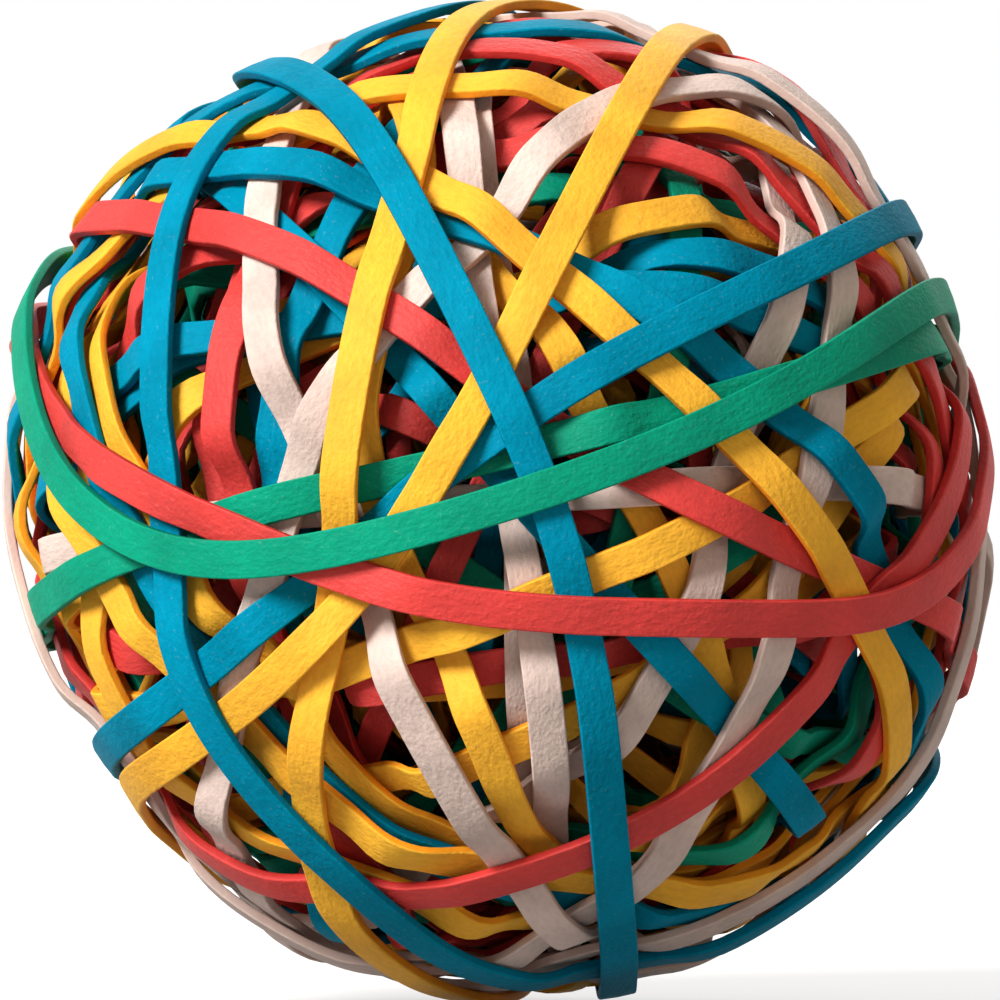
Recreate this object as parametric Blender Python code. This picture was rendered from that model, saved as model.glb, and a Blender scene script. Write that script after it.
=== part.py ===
"""Rubber band ball, modelled band by band for Blender 4.5.

Each band is a stretched loop that follows the marks read from the photograph. The bands are placed from
the outside in: the last one wound runs round the ball undisturbed, and each earlier one is pressed down
wherever a later one crosses it. The unseen inside, packed solid by the tension, is one piece.
"""

import math

import bmesh
import bpy
import numpy as np
from mathutils import Vector
from mathutils.bvhtree import BVHTree

MM = 0.001

# One band
BAND_WIDTH = 3.0 * MM
BAND_THICKNESS = 0.8 * MM
BAND_GAP = 0.13 * MM
TILT_LIMIT = 1.0 * MM

# The ball: how far out the last band lies, and how much deeper the first of the outer bands is
BALL_RADIUS = 40.2 * MM
OUTER_LAYERS = 1.6 * MM

# How finely the packed inside is built and felt
INNER_SUBDIVISIONS = 4
INNER_STEPS = 10

# How finely a band is built, and how finely it feels what lies over it
SECTIONS = 26
STEPS_ALONG = 28
STEPS_ACROSS = 13
OVERHANG = 0.07
SETTLING_PASSES = 3

# How the photograph is read, in its own pixels: its middle, and the rim of the first and the last band
PHOTO_MIDDLE = (500, 500)
PHOTO_RIMS = (478, 499)
FARTHEST_OUT = 0.985
READING_PASSES = 3

# Where the ball is less than round: a pixel on its rim, and how much farther out the bands lie there
SWELLS = (
    ((790, 85), 1.4 * MM),
    ((925, 765), 1.1 * MM),
    ((700, 960), 0.7 * MM),
    ((10, 365), 1.3 * MM),
    ((140, 140), 0.8 * MM),
    ((100, 790), -2.2 * MM),
    ((330, 30), -1.0 * MM),
    ((985, 370), -1.0 * MM),
    ((5, 540), -0.6 * MM),
)
SWELL_SPREAD = 0.04

# The waves that a loop may wander in, and how it resists wandering where it has marks and where it has none
WAVES = (0, 2, 3, 4, 5)
STIFFNESS = (0.004, 0.1)
UNMARKED_ANGLE = math.radians(35.0)
UNMARKED_STEPS = 108
TRUST_BEHIND = 0.3
STEP_FOR_SLOPE = 0.01

RED, YELLOW, BLUE, GREEN, CREAM = "red", "yellow", "blue", "green", "cream"
COLOURS = {
    RED: (0.60, 0.055, 0.06),
    YELLOW: (0.90, 0.52, 0.06),
    BLUE: (0.0, 0.26, 0.42),
    GREEN: (0.0, 0.27, 0.15),
    CREAM: (0.80, 0.68, 0.62),
    "inner": (0.22, 0.10, 0.07),
}

# Every wound band, the deepest first: its colour, the pixels that the middle of its width passes, and for
# some the pixels that it would pass behind the ball
BANDS = [
    (RED, [(345, 695), (420, 685), (495, 673), (625, 660), (700, 648), (760, 640)]),
    (RED, [(272, 700), (288, 745), (345, 810), (370, 850), (392, 890)]),
    (YELLOW, [(430, 275), (485, 258), (540, 250), (600, 237), (650, 226), (750, 213), (800, 217), (840, 240)]),
    (BLUE, [(490, 285), (545, 278), (600, 282), (660, 290), (720, 305), (790, 332), (850, 355), (900, 375),
            (925, 390), (940, 420)]),
    (RED, [(445, 130), (500, 132), (545, 145), (650, 155), (700, 172), (745, 192), (800, 240), (862, 300),
           (905, 370), (925, 430)]),
    (CREAM, [(475, 60), (473, 108), (480, 165), (495, 230)]),
    (YELLOW, [(360, 805), (400, 790), (435, 775), (470, 762), (510, 742), (620, 698)]),
    (YELLOW, [(650, 515), (675, 570), (695, 620), (722, 680)]),
    (CREAM, [(718, 540), (700, 580), (670, 650), (628, 722), (570, 775)]),
    (GREEN, [(570, 885), (640, 872), (690, 862), (730, 845), (780, 818), (830, 782), (865, 745), (885, 700)]),
    (BLUE, [(345, 200), (320, 245), (305, 295), (292, 335), (270, 385), (260, 435), (260, 485)]),
    (BLUE, [(88, 415), (105, 393), (140, 370), (185, 345), (225, 325), (300, 295)]),
    (RED, [(222, 490), (227, 430), (233, 370), (240, 310), (250, 260), (262, 215)]),
    (CREAM, [(978, 503), (900, 490), (830, 482), (770, 478), (720, 480), (660, 490), (600, 503), (480, 490),
             (370, 503), (300, 520), (110, 532), (60, 548), (32, 572)]),
    (YELLOW, [(330, 770), (365, 805), (400, 835), (440, 860), (480, 875), (540, 895)]),
    (GREEN, [(848, 148), (865, 180), (878, 205), (905, 245), (922, 277)]),
    (RED, [(785, 105), (815, 140), (840, 175), (868, 215)]),
    (CREAM, [(515, 530), (524, 560), (538, 640), (542, 700), (548, 760), (553, 815)]),
    (BLUE, [(400, 355), (425, 385), (450, 420), (540, 515), (580, 560), (625, 608), (665, 655), (700, 693),
            (740, 735), (780, 780), (812, 832)]),
    (YELLOW, [(418, 140), (390, 240), (372, 330), (362, 380), (355, 430), (372, 500), (400, 565), (425, 615),
              (442, 658), (462, 705), (485, 755), (515, 800), (548, 838), (575, 882), (600, 902), (640, 912), (690, 908),
              (740, 892), (790, 870), (840, 840)]),
    (YELLOW, [(335, 675), (370, 660), (400, 648), (440, 638), (480, 625), (560, 583), (600, 568), (640, 552),
              (680, 535), (720, 520), (845, 430), (880, 408)]),
    (YELLOW, [(75, 262), (64, 292), (60, 330), (62, 370), (74, 408), (92, 620)]),
    (YELLOW, [(90, 245), (60, 275), (42, 310), (30, 355), (17, 430), (14, 470), (20, 520), (30, 580)]),
    (YELLOW, [(968, 425), (976, 470), (978, 520), (975, 580), (965, 640)]),
    (BLUE, [(85, 290), (75, 335), (76, 370), (85, 402)]),
    (YELLOW, [(48, 622), (75, 652), (108, 668), (150, 680)]),
    (RED, [(212, 112), (245, 98), (272, 86)]),
    (YELLOW, [(108, 585), (130, 615), (155, 645), (178, 668), (215, 720)]),
    (CREAM, [(195, 868), (150, 825), (110, 775), (75, 722), (30, 640), (700, 45), (770, 78), (830, 115),
             (868, 150), (905, 195), (930, 245), (958, 350)],
     [(940, 700), (850, 830), (700, 920), (500, 950), (60, 420), (120, 250), (250, 120), (420, 50)]),
    (RED, [(485, 28), (540, 15), (600, 13), (655, 22), (705, 52), (745, 72)]),
    (RED, [(480, 72), (495, 55), (540, 42), (600, 42), (640, 52), (690, 66)]),
    (CREAM, [(765, 100), (785, 130), (805, 165), (825, 200), (842, 235), (848, 275), (840, 315), (828, 360),
             (828, 405), (820, 470), (808, 530), (795, 580), (775, 645), (757, 700), (728, 745), (700, 790),
             (675, 835), (645, 880)]),
    (YELLOW, [(345, 98), (380, 92), (430, 87), (480, 87), (540, 93), (600, 105), (650, 112), (700, 118),
              (745, 135), (790, 160), (830, 187), (862, 217), (900, 268)]),
    (CREAM, [(300, 60), (275, 105), (265, 150), (263, 190), (262, 225), (262, 270), (266, 320), (275, 370),
             (288, 420), (303, 465), (325, 525), (350, 580), (372, 625), (400, 680), (425, 730), (452, 780),
             (480, 825), (508, 865), (540, 905), (580, 942)]),
    (CREAM, [(300, 945), (268, 928), (245, 900), (232, 868), (222, 835), (217, 800), (224, 750), (238, 640),
             (248, 605), (262, 575), (290, 480), (305, 448), (330, 405), (385, 325), (412, 285), (460, 235),
             (510, 190), (550, 155), (590, 125), (650, 100), (700, 88), (750, 86), (800, 102), (840, 127),
             (870, 157)]),
    (BLUE, [(118, 195), (180, 177), (240, 164), (280, 166), (320, 176), (360, 187), (435, 212), (500, 232),
            (575, 258), (620, 290), (670, 325), (720, 362), (760, 393), (800, 425), (840, 460), (868, 500),
            (885, 548), (905, 605), (922, 655), (930, 705), (922, 755)]),
    (BLUE, [(300, 68), (330, 60), (350, 50), (400, 35), (440, 28), (480, 38), (540, 36), (620, 26)]),
    (RED, [(88, 218), (130, 220), (170, 222), (210, 233), (260, 245), (300, 260), (350, 287), (400, 320),
           (440, 345), (470, 365), (600, 450), (640, 480), (700, 503), (740, 522), (790, 547), (870, 580),
           (935, 612), (968, 640)]),
    (RED, [(885, 178), (915, 235), (933, 275), (958, 350), (966, 400), (955, 450), (938, 500), (912, 555),
           (890, 595), (850, 655), (800, 705), (750, 750), (700, 783), (640, 815), (580, 848), (540, 868),
           (500, 882), (450, 892), (400, 897), (300, 892), (260, 878), (200, 852), (158, 815)]),
    (GREEN, [(965, 328), (940, 335), (900, 349), (860, 362), (800, 377), (760, 388), (720, 397), (650, 419),
             (600, 430), (560, 440), (400, 473), (300, 496), (255, 506), (150, 550), (110, 562), (70, 580),
             (42, 605), (28, 625)]),
    (YELLOW, [(120, 178), (150, 146), (190, 128), (250, 120), (300, 128), (345, 143), (400, 160), (440, 180),
              (480, 212), (520, 250), (560, 285), (600, 320), (640, 350), (680, 385), (710, 415), (750, 460),
              (790, 510), (830, 562), (860, 612), (880, 670), (892, 720), (885, 800)]),
    (BLUE, [(912, 212), (880, 228), (840, 248), (800, 268), (760, 290), (720, 310), (680, 328), (640, 347),
            (600, 368), (560, 390), (530, 410), (485, 445), (465, 465), (395, 502), (370, 518), (310, 588),
            (270, 617), (230, 647), (190, 682), (150, 712), (108, 748)]),
    (YELLOW, [(480, 10), (452, 42), (432, 95), (418, 140), (400, 190), (390, 235), (380, 280), (370, 330),
              (360, 380), (350, 430), (342, 480), (337, 525), (315, 680), (312, 740), (315, 800), (335, 895),
              (360, 940), (400, 965), (430, 975)]),
    (YELLOW, [(690, 18), (665, 50), (640, 95), (615, 140), (590, 185), (570, 225), (548, 265), (530, 300),
              (512, 340), (478, 400), (455, 440), (424, 500), (352, 603), (310, 640), (270, 675), (230, 712),
              (190, 750), (155, 772), (128, 795)]),
    (CREAM, [(989, 500), (989, 530), (983, 600), (975, 650), (958, 700), (940, 745), (915, 780), (880, 815), (840, 850),
             (790, 885), (740, 915), (690, 942), (640, 962), (580, 962)],
     [(350, 920), (180, 810), (90, 650), (65, 500), (90, 350), (180, 200), (330, 110), (480, 60), (640, 50),
      (780, 110), (890, 210), (955, 330)]),
    (CREAM, [(230, 908), (270, 935), (320, 957), (380, 980), (440, 990), (540, 988)],
     [(780, 880), (890, 740), (930, 560), (890, 360), (790, 200), (620, 110), (430, 110), (230, 190),
      (110, 340), (60, 480), (60, 600), (90, 720)]),
    (BLUE, [(290, 84), (262, 96), (240, 113), (220, 140), (203, 175), (190, 215), (178, 255), (167, 300),
            (160, 350), (157, 400), (158, 450), (172, 575), (182, 620), (195, 665), (215, 710), (240, 752),
            (265, 790), (300, 835), (340, 872), (380, 905), (420, 930), (470, 950), (520, 967), (590, 981),
            (640, 979), (700, 970), (750, 948), (800, 918), (848, 866)]),
    (BLUE, [(265, 78), (300, 72), (330, 95), (365, 140), (400, 200), (430, 250), (460, 310), (490, 365),
            (515, 415), (530, 460), (560, 550), (575, 595), (585, 650), (592, 700), (600, 750), (605, 800),
            (610, 860), (615, 920), (618, 985)]),
    (RED, [(25, 365), (45, 420), (100, 462), (160, 497), (220, 525), (290, 553), (340, 580), (400, 590),
           (470, 603), (560, 613), (640, 618), (720, 620), (800, 617), (860, 608), (920, 588), (960, 556),
           (985, 515), (987, 470), (978, 435)],
     [(900, 350), (750, 300), (500, 270), (250, 270), (90, 310)]),
    (GREEN, [(38, 298), (20, 335), (13, 375), (22, 405), (40, 445), (65, 475), (100, 508), (140, 533),
             (180, 552), (220, 562), (260, 562), (320, 556), (360, 548), (400, 537), (440, 524), (480, 511),
             (520, 498), (560, 484), (600, 470), (640, 456), (680, 441), (720, 424), (760, 404), (800, 384),
             (850, 350), (900, 318), (965, 285)],
     [(900, 315), (800, 355), (650, 400), (450, 380), (250, 300), (110, 255)]),
]


def unit(rows):
    """The given vectors, each scaled to length one."""
    return rows / np.linalg.norm(rows, axis=-1, keepdims=True)


def clear_scene():
    """Remove whatever the file opened with."""
    for item in list(bpy.data.objects):
        bpy.data.objects.remove(item)


def rubber(name):
    """A matt rubber in one of the ball's colours."""
    material = bpy.data.materials.new("rubber_" + name)
    material.use_nodes = True
    shader = material.node_tree.nodes["Principled BSDF"]
    shader.inputs["Base Color"].default_value = (*COLOURS[name], 1.0)
    shader.inputs["Roughness"].default_value = 0.6
    shader.inputs["Metallic"].default_value = 0.0
    material.diffuse_color = (*COLOURS[name], 1.0)
    return material


def swell_at(rays):
    """How much farther out than on a round ball the bands lie along each ray."""
    total = np.zeros(rays.shape[:-1])
    for (x, y), height in SWELLS:
        towards = unit(np.array([x - PHOTO_MIDDLE[0], 0.0, PHOTO_MIDDLE[1] - y]))
        total += height * np.exp((rays @ towards - 1.0) / SWELL_SPREAD)
    return total


def directions_to(marks, rim, side):
    """The directions from the ball's centre to pixels of the photograph, which looks along +Y. Side is
    -1 for the face that the photograph shows, and 1 for the far face behind it."""
    offsets = (np.array(marks, float) - PHOTO_MIDDLE) / rim
    swollen = 1.0
    for _ in range(READING_PASSES):
        across, down = offsets.T / swollen
        share = np.minimum(1.0, FARTHEST_OUT / np.hypot(across, down))
        away = side * np.sqrt(1.0 - (share * across) ** 2 - (share * down) ** 2)
        rays = np.stack([share * across, away, -share * down], axis=1)
        swollen = 1.0 + swell_at(rays) / BALL_RADIUS
    return rays


def waves_at(angles):
    """The sideways wander that a loop may have, one column for each wave around it."""
    columns = []
    for count in WAVES:
        columns.append(np.cos(count * angles))
        if count:
            columns.append(np.sin(count * angles))
    return np.stack(columns, axis=1)


def loop_through(marks, behind, rim):
    """A loop around the ball through the marks: its three directions and its sideways wander.

    The loop is a great circle that wanders as the marks ask, and comes back to the circle where there
    are none, on the far side.
    """
    seen = directions_to(marks, rim, -1.0)
    middle = seen.sum(axis=0)
    if behind:
        seen = np.vstack([seen, directions_to(behind, rim, 1.0)])
    axis = np.linalg.svd(seen)[2][2]
    start = unit(middle - axis * (middle @ axis))
    ahead = np.cross(axis, start)
    angles = np.arctan2(seen @ ahead, seen @ start)
    slopes = (seen @ axis) / np.hypot(seen @ ahead, seen @ start)

    back = np.linspace(0.0, 2.0 * math.pi, UNMARKED_STEPS, endpoint=False)
    distance = np.abs((back[:, None] - angles[None, :] + math.pi) % (2.0 * math.pi) - math.pi).min(axis=1)
    back = back[distance > UNMARKED_ANGLE]
    stiffness = [STIFFNESS[0] * (1 + n * n) for n in WAVES for _ in range(2 if n else 1)]
    trust = np.where(np.arange(len(seen)) < len(marks), 1.0, TRUST_BEHIND)
    rows = [waves_at(angles) * trust[:, None], STIFFNESS[1] * waves_at(back),
            math.sqrt(len(seen)) * np.diag(stiffness)]
    wanted = [slopes * trust, np.zeros(len(back)), np.zeros(len(stiffness))]
    wander = np.linalg.lstsq(np.vstack(rows), np.concatenate(wanted), rcond=None)[0]

    return start, ahead, axis, wander


def feelers():
    """Points spread over one stretch of band, as shares of its four corners, with the corners' order
    left start, right start, left end, right end. The stretch is two flat triangles, split from left
    start to right end. Beyond the edges a point is felt where it is and counted at the edge."""
    felt, counted = [], []
    for i in range(STEPS_ALONG):
        a = i / STEPS_ALONG
        for j in range(STEPS_ACROSS):
            c = -OVERHANG + (1.0 + 2.0 * OVERHANG) * j / (STEPS_ACROSS - 1)
            felt.append([(1.0 - c) * (1.0 - a), c * (1.0 - a), (1.0 - c) * a, c * a])
            c = min(max(c, 0.0), 1.0)
            if c >= a:
                counted.append([1.0 - c, c - a, 0.0, a])
            else:
                counted.append([1.0 - a, 0.0, a - c, c])
    return np.array(felt), np.array(counted)


def room_along(tree, rays):
    """How far out there is room along each ray from the centre, under the bands of the given tree."""
    centre = Vector((0.0, 0.0, 0.0))
    all_clear = 2.0 * BALL_RADIUS
    room = []
    for ray in rays.reshape(-1, 3):
        distance = tree.ray_cast(centre, Vector(ray))[3]
        room.append(all_clear if distance is None else distance)
    return np.array(room).reshape(rays.shape[:-1]) - BAND_GAP


def rails_at(loop, angles):
    """Rays through the two edges of a band at the given angles around its loop."""
    start, ahead, axis, wander = loop
    here, there = (
        unit(np.outer(np.cos(turn), start) + np.outer(np.sin(turn), ahead)
             + np.outer(waves_at(turn) @ wander, axis))
        for turn in (angles - STEP_FOR_SLOPE, angles + STEP_FOR_SLOPE))
    middle = unit(here + there)
    sideways = unit(np.cross(there - here, middle))
    half_width = 0.5 * BAND_WIDTH / BALL_RADIUS
    return unit(np.stack([middle - half_width * sideways, middle + half_width * sideways], axis=1))


def lie_under(limit, counted, free):
    """The nearness, one over the radius, of each edge point of a band's outer face. Every felt point of
    the face stays within its limit, and each edge point lies as far out as that and its own free
    nearness let it."""
    def shortfall(nearness):
        four = np.concatenate([nearness, np.roll(nearness, -1, axis=0)], axis=1)
        return np.clip(limit - np.einsum("fc,sc->sf", counted, four), 0.0, None)

    nearness = free.copy()
    share = counted / (counted ** 2).sum(axis=1, keepdims=True)
    push = (shortfall(nearness)[:, :, None] * share[None, :, :]).max(axis=1)
    nearness += np.maximum(push[:, :2], np.roll(push[:, 2:], 1, axis=0))
    for _ in range(SETTLING_PASSES):
        lowest_first = np.argsort(-nearness.ravel())
        for k, side in zip(*divmod(lowest_first, 2)):
            spare = []
            for stretch, corner in ((k, side), (k - 1, side + 2)):
                four = np.concatenate([nearness[stretch], nearness[(stretch + 1) % SECTIONS]])
                held = counted[:, corner] > 0.0
                spare.append(((counted[held] @ four - limit[stretch][held]) / counted[held, corner]).min())
            nearness[k, side] = max(free[k, side], nearness[k, side] - min(spare))
    farthest = (1.0 / nearness).min(axis=1, keepdims=True) + TILT_LIMIT
    return np.maximum(nearness, 1.0 / farthest)


def wound_under(tree, loop, free_radius):
    """The edge rays of a band's sections and the radius of each edge of its outer face, under the bands
    that were wound after it."""
    rails = rails_at(loop, np.linspace(0.0, 2.0 * math.pi, SECTIONS, endpoint=False))
    felt, counted = feelers()
    corners = np.concatenate([rails, np.roll(rails, -1, axis=0)], axis=1)
    room = room_along(tree, unit(np.einsum("fc,scx->sfx", felt, corners)))
    limit = np.linalg.norm(np.einsum("fc,scx->sfx", counted, corners), axis=2) / room
    return rails, 1.0 / lie_under(limit, counted, 1.0 / (free_radius + swell_at(rails)))


def band_mesh(rails, radius):
    """The corners and faces of a band, whose four long edges run through the rails' rays."""
    inner = rails * (radius[:, :, None] - BAND_THICKNESS)
    outer = rails * radius[:, :, None]
    corners = np.concatenate([inner, outer], axis=1).reshape(-1, 3)
    faces = []
    for s in range(SECTIONS):
        a = 4 * s
        b = 4 * ((s + 1) % SECTIONS)
        faces += [(a, b + 1, a + 1), (a, b, b + 1)]
        faces += [(a + 2, a + 3, b + 3), (a + 2, b + 3, b + 2)]
        faces += [(a, a + 2, b + 2), (a, b + 2, b)]
        faces += [(a + 1, b + 3, a + 3), (a + 1, b + 1, b + 3)]
    return [tuple(corner) for corner in corners], faces


def add_piece(name, corners, faces, material):
    """A named object from corners and faces, with its faces turned outwards."""
    mesh = bpy.data.meshes.new(name)
    mesh.from_pydata(corners, [], faces)
    build = bmesh.new()
    build.from_mesh(mesh)
    bmesh.ops.recalc_face_normals(build, faces=build.faces)
    build.to_mesh(mesh)
    build.free()
    mesh.materials.append(material)
    piece = bpy.data.objects.new(name, mesh)
    bpy.context.collection.objects.link(piece)
    return piece


def inner_winding(tree):
    """The corners and faces of the packed inside: a ball that swells into all the room that the bands
    leave it, so that each band has pressed its groove into it."""
    build = bmesh.new()
    bmesh.ops.create_icosphere(build, subdivisions=INNER_SUBDIVISIONS, radius=1.0)
    rays = unit(np.array([corner.co[:] for corner in build.verts]))
    faces = [tuple(corner.index for corner in face.verts) for face in build.faces]
    build.free()

    shares = [(i, j, INNER_STEPS - i - j) for i in range(INNER_STEPS + 1) for j in range(INNER_STEPS + 1 - i)]
    points = np.einsum("pc,fcx->fpx", np.array(shares) / INNER_STEPS, rays[np.array(faces)])
    room = (room_along(tree, unit(points)) / np.linalg.norm(points, axis=2)).min(axis=1)
    radius = np.full(len(rays), BALL_RADIUS - OUTER_LAYERS)
    for face, space in zip(faces, room):
        radius[list(face)] = np.minimum(radius[list(face)], space)
    return [tuple(corner) for corner in rays * radius[:, None]], faces


def main():
    clear_scene()
    rubbers = {name: rubber(name) for name in COLOURS}
    pieces = []
    wound_corners = []
    wound_faces = []
    for order in reversed(range(len(BANDS))):
        colour, marks, *behind = BANDS[order]
        depth = order / (len(BANDS) - 1)
        rim = PHOTO_RIMS[0] + depth * (PHOTO_RIMS[1] - PHOTO_RIMS[0])
        free_radius = BALL_RADIUS - (1.0 - depth) * OUTER_LAYERS
        tree = BVHTree.FromPolygons(wound_corners, wound_faces)
        loop = loop_through(marks, behind[0] if behind else [], rim)
        corners, faces = band_mesh(*wound_under(tree, loop, free_radius))
        pieces.append(add_piece(f"band_{order + 1:02d}_{colour}", corners, faces, rubbers[colour]))
        first = len(wound_corners)
        wound_corners += corners
        wound_faces += [tuple(first + corner for corner in face) for face in faces]

    corners, faces = inner_winding(BVHTree.FromPolygons(wound_corners, wound_faces))
    pieces.append(add_piece("inner_bands", corners, faces, rubbers["inner"]))

    ball = bpy.data.objects.new("rubber_band_ball", None)
    bpy.context.collection.objects.link(ball)
    ball.location.z = -min(corner[2] for corner in wound_corners)
    for piece in pieces:
        piece.parent = ball


main()
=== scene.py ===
"""The looks of the rubber band ball.

Every outer band takes its route from its CAD node and is rebuilt finely, with rounded edges, so that it
lies tight against the bands over it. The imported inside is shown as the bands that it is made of.
"""

import math

import bpy
import numpy as np
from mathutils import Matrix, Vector


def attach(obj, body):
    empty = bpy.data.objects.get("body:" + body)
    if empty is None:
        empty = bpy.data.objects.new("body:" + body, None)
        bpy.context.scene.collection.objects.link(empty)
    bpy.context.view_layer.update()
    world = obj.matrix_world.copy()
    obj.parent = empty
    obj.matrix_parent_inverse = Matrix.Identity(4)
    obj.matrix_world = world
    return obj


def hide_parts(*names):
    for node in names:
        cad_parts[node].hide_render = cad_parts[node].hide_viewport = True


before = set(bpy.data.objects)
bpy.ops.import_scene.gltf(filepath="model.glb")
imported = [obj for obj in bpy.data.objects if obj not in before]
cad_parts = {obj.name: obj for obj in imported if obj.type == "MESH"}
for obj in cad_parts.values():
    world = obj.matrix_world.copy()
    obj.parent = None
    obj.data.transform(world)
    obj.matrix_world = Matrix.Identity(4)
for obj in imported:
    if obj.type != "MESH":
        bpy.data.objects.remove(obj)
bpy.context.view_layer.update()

MM = 0.001
WHITE = (1.0, 1.0, 1.0, 1.0)
BLACK = (0.0, 0.0, 0.0, 1.0)

# How finely the bands are felt and built: steps round a loop, lanes across a band, cells along an edge of the
# roof's cube, and sections in the mesh
STEPS = 1440
LANES = 21
CELLS = 420
OUTER_SECTIONS = 288
INNER_SECTIONS = 144
FLAT_FACE_WEIGHT = 100

# How a band lies: the gap at a crossing, how deep the outer bands' free lines are staggered, how far one edge
# may tilt over the other, how far ahead a band starts to bend, how often its line is eased, and its edges
CONTACT_GAP = 0.03 * MM
OUTER_LAYERS = 1.6 * MM
TILT_LIMIT = 0.8 * MM
BENDING_REACH = 3.0 * MM
EASINGS = 2
EDGE_ROUNDING = 0.16 * MM
EDGE_BEND = 0.3
CROWN = 0.03 * MM

# How a band strays from its line: an outer one in and out in each of these waves round the ball, an inner one
# sideways, in shares of the radius, in two and three waves
WOBBLE_WAVES = (7, 11, 17, 23)
WOBBLE = 0.10 * MM
STRAY_IN_TWO_WAVES = 0.05
STRAY_IN_THREE_WAVES = 0.03
LAST_PHASE = 6.0

# How a CAD band is read: corners on one ray lie within this angle, and equal radii within this length
SAME_RAY_DEGREES = 0.5
SAME_RADIUS = 1e-9
CORNER_DIGITS = 7

# Bands that lie elsewhere than their numbers say: their place in the order of winding, and how much deeper
# they lie than that
OTHER_PLACES = {
    "band_26_yellow": (0.5, 0.0),
    "band_31_red": (2.3, 0.0),
    "band_12_blue": (2.6, 0.0),
    "band_37_blue": (37, 0.5 * MM),
    "band_39_red": (39, 0.5 * MM),
    "band_29_cream": (41.2, 0.1 * MM),
    "band_46_cream": (41.4, 0.3 * MM),
    "band_45_cream": (41.6, 0.5 * MM),
}

# Where the ball is less than round: a pixel on its rim, and how much farther out the bands lie there
SWELLS = (
    ((790, 85), 1.4 * MM),
    ((925, 765), 1.1 * MM),
    ((700, 960), 0.7 * MM),
    ((10, 365), 1.3 * MM),
    ((140, 140), 0.8 * MM),
    ((100, 790), -2.2 * MM),
    ((330, 30), -1.0 * MM),
    ((985, 370), -1.0 * MM),
    ((5, 540), -0.6 * MM),
)
SWELL_SPREAD = 0.04

# The inside: bands under the outer ones, each a little deeper than the last
DEEP_RADIUS = 38.0 * MM
RIM_COUNT = 36
RIM_RADIUS = 39.4 * MM
RIM_LEAN = 0.17
RIM_AXIS = (0.0, 1.0, 0.0)
ANY_WAY = (0.3, 0.5, 0.8)
INNER_COUNT = 160
INNER_FIRST_RADIUS = 39.0 * MM
INNER_LAST_RADIUS = 34.5 * MM
CORE_RADIUS = 31.0 * MM
CORE_CLEARANCE = 0.4 * MM
CORE_SUBDIVISIONS = 6

# The camera, level with the ball's centre and far away, and the ball's rim in the photograph's pixels
CAMERA_DISTANCE = 1.2
SENSOR_WIDTH = 36.0
NEAREST_SEEN = 0.01
FARTHEST_SEEN = 20.0
PHOTO_HALF = 500
PHOTO_RIM = 506
PHOTO_RIM_RADIUS = 40.2 * MM

# The floor, just under the lowest band. It glows weakly near the ball, so that the shadow shows, and white
# farther off.
FLOOR_SIZE = 6.0
FLOOR_HEIGHT = -0.4 * MM
FLOOR_GREY = (0.3, 0.3, 0.3, 1.0)
FLOOR_ROUGHNESS = 0.9
FLOOR_GLOW_NEAR = 0.62
FLOOR_GLOW_STARTS = 0.10
FLOOR_GLOW_FULL = 0.45

# The light of the sky, and the lamps with their name, place, size, power and colour
SKY_LIGHT = 0.31
SKY_COLOUR = (1.0, 0.90, 0.78, 1.0)
LAMPS = (
    ("key", (-0.60, -0.62, 0.58), 0.34, 15.6, (1.0, 0.99, 0.97)),
    ("fill", (0.60, -0.80, -0.05), 0.60, 1.9, (1.0, 0.84, 0.70)),
    ("back", (0.20, 0.80, 0.60), 0.60, 4.4, (1.0, 1.0, 1.0)),
)

# Colours as they look on a lit face, in sRGB
FACE_COLOURS = {
    "red": (212, 60, 56),
    "yellow": (255, 184, 56),
    "blue": (0, 134, 166),
    "green": (0, 148, 116),
    "cream": (222, 199, 189),
}
SIDE_COLOURS = {
    "red": (194, 43, 39),
    "yellow": (250, 156, 34),
    "blue": (0, 113, 145),
    "green": (0, 128, 99),
    "cream": (206, 178, 167),
}
# The core's dark brown is painted shade: it darkens what is seen deep between the bands
CORE_PAINTED_SHADE_COLOUR = (105, 52, 44)
SHEENS = {"red": 0.34, "yellow": 0.14, "blue": 0.03, "green": 0.12, "cream": 0.10}
ROUGHNESS = 0.6
REFRACTION = 1.45

# The order in which the inner bands' colours follow each other, and how light their painted shade leaves them
# beside the outer ones
INNER_MIX = ("red", "yellow", "blue", "green", "cream", "yellow", "red", "green", "blue", "yellow")
INNER_PAINTED_SHADE = 0.92

# The rubber's grain: how fine its wrinkles, pebbles and clouds of colour are, between which values of their
# noise each shows, and how strongly
UV_UNIT = 10.0 * MM
WRINKLE_SCALE = 11.0
WRINKLE_DETAIL = 2.0
WRINKLE_STRETCH = (1.0, 1.8, 1.0)
WRINKLE_RANGE = (0.36, 0.60)
WRINKLE_SHADE = (0.72, 0.72, 0.72, 1.0)
FACE_GRAIN = 0.32
SIDE_GRAIN = 0.20
PEBBLE_SCALE = 3400.0
CLOUD_SCALE = 170.0
CLOUD_RANGE = (0.32, 0.68)
CLOUD_SHADES = (0.92, 1.03)
TALC_COLOUR = (0.86, 0.84, 0.80, 1.0)
TALC_RANGE = (0.66, 0.80)
TALC_COVER = (0.05, 0.05, 0.05, 1.0)
PEBBLE_SHARE = 0.3
RELIEF_HEIGHT = 0.16 * MM
FACE_RELIEF = 1.0
SIDE_RELIEF = 0.5

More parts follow.
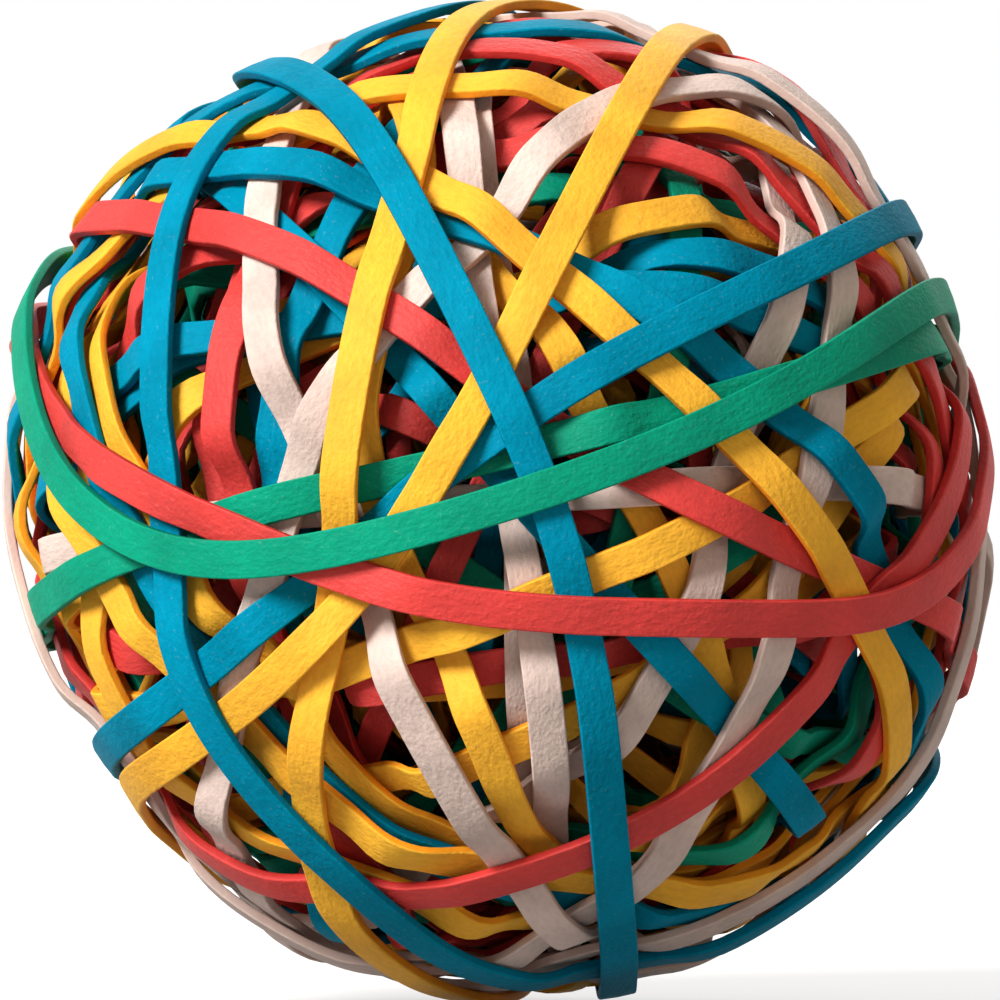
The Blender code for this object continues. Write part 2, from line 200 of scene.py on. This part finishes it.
# Bands glimpsed deep between the outer ones: their colour, and pixels of the photograph that they pass. The
# ball that they lie on has a rim of its own, read in pixels too.
DEEP_RIM = 480
DEEP_REACH = 0.985
DEEP_WAVES = (2, 3)
DEEP_STIFFNESS = 0.05
DEEP_BANDS = [
    ("red", [(522, 405), (535, 378), (549, 350), (566, 315)]),
    ("green", [(688, 245), (684, 280), (668, 400), (640, 520)]),
    ("red", [(520, 218), (560, 200), (620, 180), (680, 150), (740, 122), (778, 130)]),
    ("yellow", [(340, 735), (392, 770), (470, 800)]),
    ("blue", [(345, 690), (365, 720), (390, 760)]),
    ("green", [(440, 825), (500, 760), (600, 640), (715, 575)]),
    ("yellow", [(765, 560), (735, 600), (640, 720), (575, 760)]),
    ("green", [(610, 670), (655, 690), (700, 715), (750, 735), (810, 752)]),
    ("yellow", [(180, 806), (205, 835), (255, 875)]),
    ("green", [(150, 700), (215, 780), (250, 820), (275, 840), (303, 862)]),
    ("green", [(165, 262), (125, 290), (95, 320), (82, 345)]),
    ("yellow", [(150, 330), (112, 345), (92, 375)]),
    ("red", [(230, 258), (200, 285), (172, 320)]),
    ("yellow", [(215, 385), (193, 430), (180, 480)]),
    ("red", [(140, 395), (128, 435), (133, 520), (150, 595)]),
    ("yellow", [(315, 350), (310, 410), (325, 500)]),
    ("green", [(690, 148), (740, 168), (785, 190)]),
]

SEED = 12
AROUND = np.linspace(0.0, 2.0 * math.pi, STEPS, endpoint=False)
chance = np.random.RandomState(SEED)


def unit(rows):
    """The given vectors, each scaled to length one."""
    return rows / np.linalg.norm(rows, axis=-1, keepdims=True)


def linear(colour, factor=1.0):
    """An sRGB colour of 0 to 255 as Blender's linear colour."""
    shares = [min(1.0, c * factor / 255.0) for c in colour]
    return tuple(c / 12.92 if c <= 0.04045 else ((c + 0.055) / 1.055) ** 2.4 for c in shares) + (1.0,)


def corners_of(node):
    """The different corners of a CAD node."""
    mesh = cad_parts[node].data
    places = np.array([corner.co[:] for corner in mesh.vertices])
    return np.unique(np.round(places, CORNER_DIGITS), axis=0)


def ball_centre():
    """The centre of the ball: where the lines through a band's inner and outer corners meet."""
    places = corners_of(band_names()[-1])
    apart = np.linalg.norm(places[:, None] - places[None, :], axis=2) + np.eye(len(places))
    ways = unit(places[apart.argmin(axis=1)] - places)
    across = np.eye(3) - ways[:, :, None] * ways[:, None, :]
    return np.linalg.solve(across.sum(axis=0), np.einsum("nij,nj->i", across, places))


def band_names():
    """The outer bands' nodes, from the deepest to the last wound."""
    return sorted(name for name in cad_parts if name.startswith("band_"))


def sections_of(node, centre):
    """The rays through a CAD band's left and right edge, section by section around it, and the band's
    thickness."""
    places = corners_of(node) - centre
    radius = np.linalg.norm(places, axis=1)
    rays = places / radius[:, None]
    same = rays @ rays.T > math.cos(math.radians(SAME_RAY_DEGREES))
    outer = np.array([k for k in range(len(rays)) if radius[k] >= radius[same[k]].max() - SAME_RADIUS])
    thickness = float(np.median([radius[k] - radius[same[k]].min() for k in outer]))
    rays = rays[outer]

    nearness = rays @ rays.T - 2.0 * np.eye(len(rays))
    partner = nearness.argmax(axis=1)
    pairs = [(k, partner[k]) for k in range(len(rays)) if k < partner[k]]
    middles = unit(np.array([rays[a] + rays[b] for a, b in pairs]))
    axis = np.linalg.svd(middles)[2][2]
    start = unit(middles[0] - axis * (middles[0] @ axis))
    turn = np.arctan2(middles @ np.cross(axis, start), middles @ start) % (2.0 * math.pi)
    order = np.argsort(turn)
    pairs = [pairs[k] for k in order]
    middles = middles[order]
    along = np.roll(middles, -1, axis=0) - np.roll(middles, 1, axis=0)
    sideways = np.cross(along, middles)
    left = [a if (rays[a] - rays[b]) @ s < 0 else b for (a, b), s in zip(pairs, sideways)]
    right = [b if a == k else a for (a, b), k in zip(pairs, left)]
    return np.stack([rays[left], rays[right]], axis=1), thickness


def finely(values):
    """Evenly spaced values of a smooth loop, read off at every step around it."""
    waves = np.fft.rfft(values, axis=0)
    return np.fft.irfft(waves, STEPS, axis=0) * STEPS / len(values)


def swell_at(rays):
    """How much farther out than on a round ball the bands lie along each ray."""
    total = np.zeros(rays.shape[:-1])
    for (x, y), height in SWELLS:
        towards = unit(np.array([x - PHOTO_HALF, 0.0, PHOTO_HALF - y]))
        total += height * np.exp((rays @ towards - 1.0) / SWELL_SPREAD)
    return total


def straying_circle(axis, start, stray):
    """The middle line of a loop: a great circle round the axis, pushed along it by the given shares."""
    ahead = np.cross(axis, start)
    return unit(np.outer(np.cos(AROUND), start) + np.outer(np.sin(AROUND), ahead) + np.outer(stray, axis))


def deep_loop(marks):
    """The middle line of a loop round the ball: a great circle that wanders to pass the given pixels."""
    across, down = (np.array(marks, float) - PHOTO_HALF).T / DEEP_RIM
    share = np.minimum(1.0, DEEP_REACH / np.hypot(across, down))
    towards = np.sqrt(1.0 - (share * across) ** 2 - (share * down) ** 2)
    seen = np.stack([share * across, -towards, -share * down], axis=1)
    axis = np.linalg.svd(seen)[2][2]
    start = unit(seen.sum(axis=0) - axis * (seen.sum(axis=0) @ axis))
    ahead = np.cross(axis, start)
    slopes = (seen @ axis) / np.hypot(seen @ ahead, seen @ start)

    def waves_at(angles):
        return np.stack([wave(n * angles) for n in DEEP_WAVES for wave in (np.cos, np.sin)], axis=1)

    rows = np.vstack([waves_at(np.arctan2(seen @ ahead, seen @ start)),
                      math.sqrt(len(marks)) * DEEP_STIFFNESS * np.eye(2 * len(DEEP_WAVES))])
    wanted = np.concatenate([slopes, np.zeros(2 * len(DEEP_WAVES))])
    waves = np.linalg.lstsq(rows, wanted, rcond=None)[0]
    return straying_circle(axis, start, waves_at(AROUND) @ waves)


def edge_rays(middles, half_width):
    """Rays through the two edges of a band around the given middle line."""
    along = np.roll(middles, -1, axis=0) - np.roll(middles, 1, axis=0)
    sideways = unit(np.cross(along, middles))
    return unit(np.stack([middles - half_width * sideways, middles + half_width * sideways], axis=1))


class Roof:
    """How far in the bands placed so far reach, for every direction from the ball's centre. The directions
    are sorted into square cells on the six sides of a cube."""

    OPEN_SKY = 1.0

    def __init__(self):
        self.reach = np.full(6 * CELLS * CELLS, self.OPEN_SKY)

    def cells(self, rays):
        """The number of the cell that each ray passes."""
        size = np.abs(rays)
        main = size.argmax(axis=-1)
        biggest = np.take_along_axis(rays, main[..., None], -1)[..., 0]
        side = 2 * main + (biggest < 0)
        across = np.take_along_axis(rays, ((main + 1) % 3)[..., None], -1)[..., 0] / np.abs(biggest)
        up = np.take_along_axis(rays, ((main + 2) % 3)[..., None], -1)[..., 0] / np.abs(biggest)
        column = np.clip(((across + 1.0) * 0.5 * CELLS).astype(int), 0, CELLS - 1)
        row = np.clip(((up + 1.0) * 0.5 * CELLS).astype(int), 0, CELLS - 1)
        return (side * CELLS + row) * CELLS + column

    def room(self, rays):
        """How far out there is room along each ray."""
        return self.reach[self.cells(rays)]

    def cover(self, rays, radius):
        """Makes surfaces at these radii part of the roof."""
        np.minimum.at(self.reach, self.cells(rays).ravel(), radius.ravel())


def lanes_between(edges):
    """Rays on evenly spaced lanes from a band's left edge to its right edge."""
    share = np.linspace(0.0, 1.0, LANES)[None, :, None]
    return unit(edges[:, :1] * (1.0 - share) + edges[:, 1:] * share)


def eased(limit, reach):
    """The smoothest line that stays under the limit, and bends only as sharply as the reach lets it."""
    wide = limit.copy()
    for shift in range(1, reach + 1):
        wide = np.minimum(wide, np.minimum(np.roll(limit, shift, axis=0), np.roll(limit, -shift, axis=0)))
    half = reach // 2
    for _ in range(EASINGS):
        wide = sum(np.roll(wide, shift, axis=0) for shift in range(-half, half + 1)) / (2 * half + 1)
    return wide


def lay(roof, edges, free, thickness):
    """The outer radius of a band's two edges, as far out as its free line and the bands over it let it
    lie. The band then becomes part of the roof."""
    rays = lanes_between(edges)
    room = roof.room(rays) - CONTACT_GAP
    middle = LANES // 2
    limit = np.stack([room[:, :middle + 1].min(axis=1), room[:, middle:].min(axis=1)], axis=1)
    limit = np.minimum(limit, free)
    limit = np.minimum(limit, limit.min(axis=1, keepdims=True) + TILT_LIMIT)
    share = np.linspace(0.0, 1.0, LANES)[None, :]
    surface = limit[:, :1] * (1.0 - share) + limit[:, 1:] * share
    limit = limit - np.clip(surface - room, 0.0, None).max(axis=1, keepdims=True)
    step = 2.0 * math.pi * PHOTO_RIM_RADIUS / STEPS
    radius = eased(limit, round(BENDING_REACH / step))
    surface = radius[:, :1] * (1.0 - share) + radius[:, 1:] * share
    roof.cover(rays, surface - thickness)
    return radius


def section_shape(width, thickness, rounded):
    """The corners of a band's section, as shares of its width and depths under its outer face. A rounded
    one has a crowned outer face and one more corner on the bend of each edge."""
    r = EDGE_ROUNDING
    near = EDGE_BEND * r
    if not rounded:
        return [(r / width, 0.0), (1.0 - r / width, 0.0), (1.0, r), (1.0, thickness - r),
                (1.0 - r / width, thickness), (r / width, thickness), (0.0, thickness - r), (0.0, r)]
    return [(r / width, 0.0), (0.5, -CROWN), (1.0 - r / width, 0.0), (1.0 - near / width, near), (1.0, r),
            (1.0, thickness - r), (1.0 - near / width, thickness - near), (1.0 - r / width, thickness),
            (r / width, thickness), (near / width, thickness - near), (0.0, thickness - r), (0.0, r),
            (near / width, near)]


def band_mesh(name, loops, materials, sections, rounded):
    """A mesh of one or more bands, with the length along a band and the way round its section as UVs.
    Each loop is its edge rays, its edge radii and its thickness. Its sides take the second material."""
    corners, faces, sides, uvs = [], [], [], []
    for edges, radius, thickness in loops:
        pick = np.arange(sections) * STEPS // sections
        left, right = edges[pick, 0], edges[pick, 1]
        width = float(np.linalg.norm(left - right, axis=1).mean()) * PHOTO_RIM_RADIUS
        shape = section_shape(width, thickness, rounded)
        count = len(shape)
        first = sum(len(block) for block in corners)
        ring = np.empty((sections, count, 3))
        for k, (share, depth) in enumerate(shape):
            ray = unit(left * (1.0 - share) + right * share)
            reach = radius[pick, 0] * (1.0 - share) + radius[pick, 1] * share - depth
            ring[:, k] = ray * reach[:, None]
        corners.append(ring.reshape(-1, 3))
        pairs = list(zip(shape, shape[1:] + shape[:1]))
        lengths = [math.hypot((b[0] - a[0]) * width, b[1] - a[1]) for a, b in pairs]
        way = np.concatenate([[0.0], np.cumsum(lengths)])
        cut = [min(a[1], b[1]) >= EDGE_ROUNDING - CROWN for a, b in pairs]
        pace = 2.0 * math.pi * PHOTO_RIM_RADIUS / sections
        for s in range(sections):
            here = first + s * count
            there = first + ((s + 1) % sections) * count
            for k in range(count):
                n = (k + 1) % count
                faces.append((here + k, here + n, there + n, there + k))
                sides.append(cut[k])
                u, v = s * pace, (s + 1) * pace
                uvs += [(u, way[k]), (u, way[k + 1]), (v, way[k + 1]), (v, way[k])]
    mesh = bpy.data.meshes.new(name)
    mesh.from_pydata([tuple(place) for place in np.vstack(corners) + CENTRE], [], faces)
    for material in materials:
        mesh.materials.append(material)
    mesh.polygons.foreach_set("material_index", np.array(sides, dtype=np.int32))
    mesh.polygons.foreach_set("use_smooth", np.ones(len(faces), dtype=bool))
    layer = mesh.uv_layers.new(name="along_and_around")
    layer.data.foreach_set("uv", (np.array(uvs) / UV_UNIT).ravel().astype(np.float32))
    mesh.update()
    piece = bpy.data.objects.new(name, mesh)
    bpy.context.collection.objects.link(piece)
    normals = piece.modifiers.new("flat_faces", "WEIGHTED_NORMAL")
    normals.weight = FLAT_FACE_WEIGHT
    return piece


def rubber(name, colour, side, painted_shade, sheen):
    """Band rubber, wrinkled and pebbled, and dusted with a little talc. The cut sides are smoother than the
    rolled faces. A painted shade darkens the colour of bands that lie far in."""
    material = bpy.data.materials.new(name)
    material.use_nodes = True
    nodes, links = material.node_tree.nodes, material.node_tree.links
    shader = nodes["Principled BSDF"]
    shader.inputs["Roughness"].default_value = ROUGHNESS
    shader.inputs["IOR"].default_value = REFRACTION
    shader.inputs["Specular IOR Level"].default_value = sheen

    place = nodes.new("ShaderNodeTexCoord")

    def noise(space, scale, detail=1.0, stretch=(1.0, 1.0, 1.0)):
        mapping = nodes.new("ShaderNodeMapping")
        mapping.inputs["Scale"].default_value = stretch
        links.new(place.outputs[space], mapping.inputs["Vector"])
        texture = nodes.new("ShaderNodeTexNoise")
        texture.inputs["Scale"].default_value = scale
        texture.inputs["Detail"].default_value = detail
        links.new(mapping.outputs["Vector"], texture.inputs["Vector"])
        return texture.outputs["Fac"]

    def ramp(value, ends, first, last):
        colours = nodes.new("ShaderNodeValToRGB")
        for element, position, end_colour in zip(colours.color_ramp.elements, ends, (first, last)):
            element.position = position
            element.color = end_colour
        links.new(value, colours.inputs["Fac"])
        return colours.outputs["Color"]

    wrinkles = noise("UV", WRINKLE_SCALE, WRINKLE_DETAIL, WRINKLE_STRETCH)
    pebbles = noise("Object", PEBBLE_SCALE)
    clouds = noise("Object", CLOUD_SCALE)

    # The colour is darkened by the painted shade of bands that lie far in, then clouded at random
    darker, lighter = (linear(colour, share * painted_shade) for share in CLOUD_SHADES)
    clouded = ramp(clouds, CLOUD_RANGE, darker, lighter)
    grain = ramp(wrinkles, WRINKLE_RANGE, WRINKLE_SHADE, WHITE)
    grained = nodes.new("ShaderNodeMix")
    grained.data_type = "RGBA"
    grained.blend_type = "MULTIPLY"
    grained.inputs["Factor"].default_value = SIDE_GRAIN if side else FACE_GRAIN
    links.new(clouded, grained.inputs["A"])
    links.new(grain, grained.inputs["B"])
    talc = nodes.new("ShaderNodeMix")
    talc.data_type = "RGBA"
    talc.inputs["B"].default_value = TALC_COLOUR
    links.new(ramp(pebbles, TALC_RANGE, BLACK, TALC_COVER), talc.inputs["Factor"])
    links.new(grained.outputs["Result"], talc.inputs["A"])
    links.new(talc.outputs["Result"], shader.inputs["Base Color"])

    relief = nodes.new("ShaderNodeMix")
    relief.inputs["Factor"].default_value = PEBBLE_SHARE
    links.new(wrinkles, relief.inputs["A"])
    links.new(pebbles, relief.inputs["B"])
    bump = nodes.new("ShaderNodeBump")
    bump.inputs["Strength"].default_value = SIDE_RELIEF if side else FACE_RELIEF
    bump.inputs["Distance"].default_value = RELIEF_HEIGHT
    links.new(relief.outputs["Result"], bump.inputs["Height"])
    links.new(bump.outputs["Normal"], shader.inputs["Normal"])
    return material


def both_rubbers(colour, painted_shade, word):
    """The face and side materials of one colour, darkened by the given painted shade."""
    return (rubber(f"{colour}_{word}_face", FACE_COLOURS[colour], False, painted_shade, SHEENS[colour]),
            rubber(f"{colour}_{word}_side", SIDE_COLOURS[colour], True, painted_shade, SHEENS[colour]))


def outer_bands(roof):
    """The named bands, the last wound first, each in place of its CAD node. Gives back a band's thickness
    and half its width."""
    materials = {colour: both_rubbers(colour, 1.0, "outer") for colour in FACE_COLOURS}
    names = band_names()
    places = {node: OTHER_PLACES.get(node, (number + 1, 0.0)) for number, node in enumerate(names)}
    for node in sorted(names, key=places.get, reverse=True):
        place, deeper = places[node]
        edges, thickness = sections_of(node, CENTRE)
        middles = unit(finely(unit(edges.sum(axis=1))))
        half_width = 0.5 * float(np.linalg.norm(edges[:, 0] - edges[:, 1], axis=1).mean())
        fine = edge_rays(middles, half_width)
        wobble = np.zeros(STEPS)
        for waves in WOBBLE_WAVES:
            height = chance.uniform(-WOBBLE, WOBBLE)
            wobble += height * np.sin(waves * AROUND + chance.uniform(0.0, LAST_PHASE))
        free_radius = PHOTO_RIM_RADIUS - (1.0 - place / len(names)) * OUTER_LAYERS - deeper
        free = free_radius + wobble[:, None] + swell_at(fine)
        laid = lay(roof, fine, free, thickness)
        colour = node.split("_")[2]
        loops = [(fine, laid, thickness)]
        piece = band_mesh(node + "_look", loops, materials[colour], OUTER_SECTIONS, True)
        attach(piece, "root")
        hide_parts(node)
    return thickness, half_width


def inner_bands(roof, thickness, half_width):
    """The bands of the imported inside, joined by colour, in place of the CAD's one solid."""
    loops = {colour: [] for colour in FACE_COLOURS}

    def wind(colour, middles, free_radius):
        edges = edge_rays(middles, half_width)
        laid = lay(roof, edges, free_radius + swell_at(edges), thickness)
        loops[colour].append((edges, laid, thickness))

    for colour, marks in DEEP_BANDS:
        wind(colour, deep_loop(marks), DEEP_RADIUS)
    for n in range(RIM_COUNT + INNER_COUNT):
        axis = unit(chance.normal(size=3))
        if n < RIM_COUNT:
            axis = unit(RIM_LEAN * axis + RIM_AXIS)
        start = unit(np.cross(axis, ANY_WAY))
        stray = (STRAY_IN_TWO_WAVES * np.sin(2 * AROUND + chance.uniform(0.0, LAST_PHASE))
                 + STRAY_IN_THREE_WAVES * np.sin(3 * AROUND))
        depth = max(0.0, (n - RIM_COUNT) / (INNER_COUNT - 1))
        inner_radius = INNER_FIRST_RADIUS + depth * (INNER_LAST_RADIUS - INNER_FIRST_RADIUS)
        free_radius = RIM_RADIUS if n < RIM_COUNT else inner_radius
        wind(INNER_MIX[n % len(INNER_MIX)], straying_circle(axis, start, stray), free_radius)
    for colour, own in loops.items():
        # The inner bands' colours are darkened as painted shade
        materials = both_rubbers(colour, INNER_PAINTED_SHADE, "inner")
        piece = band_mesh(f"inner_bands_{colour}", own, materials, INNER_SECTIONS, False)
        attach(piece, "root")
        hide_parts("inner_bands")


def packed_core(roof):
    """What little can be seen past all the bands: more rubber, pressed into one mass, dark as painted shade.
    """
    bpy.ops.mesh.primitive_ico_sphere_add(subdivisions=CORE_SUBDIVISIONS, radius=1.0)
    core = bpy.context.object
    core.name = "packed_core"
    rays = unit(np.array([corner.co[:] for corner in core.data.vertices]))
    reach = np.minimum(roof.room(rays) - CORE_CLEARANCE, CORE_RADIUS)
    for corner, place in zip(core.data.vertices, rays * reach[:, None] + CENTRE):
        corner.co = place
    # Its dark colour is painted shade
    core.data.materials.append(rubber("packed_core", CORE_PAINTED_SHADE_COLOUR, True, 1.0, SHEENS["red"]))
    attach(core, "root")
    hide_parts("inner_bands")


def seen_directly(nodes, links):
    """One for what the camera sees, directly or in a reflection, and nought for the light on the ball."""
    path = nodes.new("ShaderNodeLightPath")
    seen = nodes.new("ShaderNodeMath")
    seen.operation = "MAXIMUM"
    links.new(path.outputs["Is Camera Ray"], seen.inputs[0])
    links.new(path.outputs["Is Glossy Ray"], seen.inputs[1])
    return seen.outputs["Value"]


def pale_floor():
    """A floor that looks white, lights nothing, and keeps the ball's shadow."""
    bpy.ops.mesh.primitive_plane_add(size=FLOOR_SIZE, location=(0.0, 0.0, FLOOR_HEIGHT))
    floor = bpy.context.object
    floor.name = "floor"
    material = bpy.data.materials.new("floor_white")
    material.use_nodes = True
    nodes, links = material.node_tree.nodes, material.node_tree.links
    shader = nodes["Principled BSDF"]
    shader.inputs["Base Color"].default_value = FLOOR_GREY
    shader.inputs["Roughness"].default_value = FLOOR_ROUGHNESS
    shader.inputs["Emission Color"].default_value = WHITE
    place = nodes.new("ShaderNodeTexCoord")
    away = nodes.new("ShaderNodeVectorMath")
    away.operation = "LENGTH"
    links.new(place.outputs["Object"], away.inputs[0])
    glow = nodes.new("ShaderNodeMapRange")
    glow.inputs["From Min"].default_value = FLOOR_GLOW_STARTS
    glow.inputs["From Max"].default_value = FLOOR_GLOW_FULL
    glow.inputs["To Min"].default_value = FLOOR_GLOW_NEAR
    glow.inputs["To Max"].default_value = 1.0
    links.new(away.outputs["Value"], glow.inputs["Value"])
    strength = nodes.new("ShaderNodeMath")
    strength.operation = "MULTIPLY"
    links.new(glow.outputs["Result"], strength.inputs[0])
    links.new(seen_directly(nodes, links), strength.inputs[1])
    links.new(strength.outputs["Value"], shader.inputs["Emission Strength"])
    material.cycles.emission_sampling = "NONE"
    floor.data.materials.append(material)


def sky():
    """A sky that looks white and gives a weak, warm light."""
    world = bpy.data.worlds.new("studio")
    bpy.context.scene.world = world
    world.use_nodes = True
    world.cycles.sampling_method = "NONE"
    nodes, links = world.node_tree.nodes, world.node_tree.links
    background = nodes["Background"]
    seen = seen_directly(nodes, links)
    tint = nodes.new("ShaderNodeMix")
    tint.data_type = "RGBA"
    tint.inputs["A"].default_value = SKY_COLOUR
    tint.inputs["B"].default_value = WHITE
    links.new(seen, tint.inputs["Factor"])
    links.new(tint.outputs["Result"], background.inputs["Color"])
    level = nodes.new("ShaderNodeMapRange")
    level.inputs["To Min"].default_value = SKY_LIGHT
    level.inputs["To Max"].default_value = 1.0
    links.new(seen, level.inputs["Value"])
    links.new(level.outputs["Result"], background.inputs["Strength"])


def lamps():
    """A large soft key from the upper left, a weak warm fill and a lamp behind, all turned to the ball."""
    for name, place, size, power, colour in LAMPS:
        light = bpy.data.lights.new(name, "AREA")
        light.size = size
        light.energy = power
        light.color = colour
        lamp = bpy.data.objects.new(name, light)
        lamp.location = place
        lamp.rotation_euler = (Vector(CENTRE) - Vector(place)).to_track_quat("-Z", "Y").to_euler()
        bpy.context.collection.objects.link(lamp)


def camera():
    """A level camera straight in front, framed as the photograph is."""
    data = bpy.data.cameras.new("camera")
    edge = math.tan(math.asin(PHOTO_RIM_RADIUS / CAMERA_DISTANCE)) * PHOTO_HALF / PHOTO_RIM
    data.sensor_width = SENSOR_WIDTH
    data.lens = 0.5 * SENSOR_WIDTH / edge
    data.clip_start = NEAREST_SEEN
    data.clip_end = FARTHEST_SEEN
    lens = bpy.data.objects.new("camera", data)
    lens.location = (CENTRE[0], CENTRE[1] - CAMERA_DISTANCE, CENTRE[2])
    lens.rotation_euler = (math.radians(90.0), 0.0, 0.0)
    bpy.context.collection.objects.link(lens)
    bpy.context.scene.camera = lens


CENTRE = ball_centre()
roof_over_all = Roof()
band_thickness, band_half_width = outer_bands(roof_over_all)
inner_bands(roof_over_all, band_thickness, band_half_width)
packed_core(roof_over_all)
pale_floor()
sky()
lamps()
camera()
bpy.context.scene.view_settings.view_transform = "Standard"
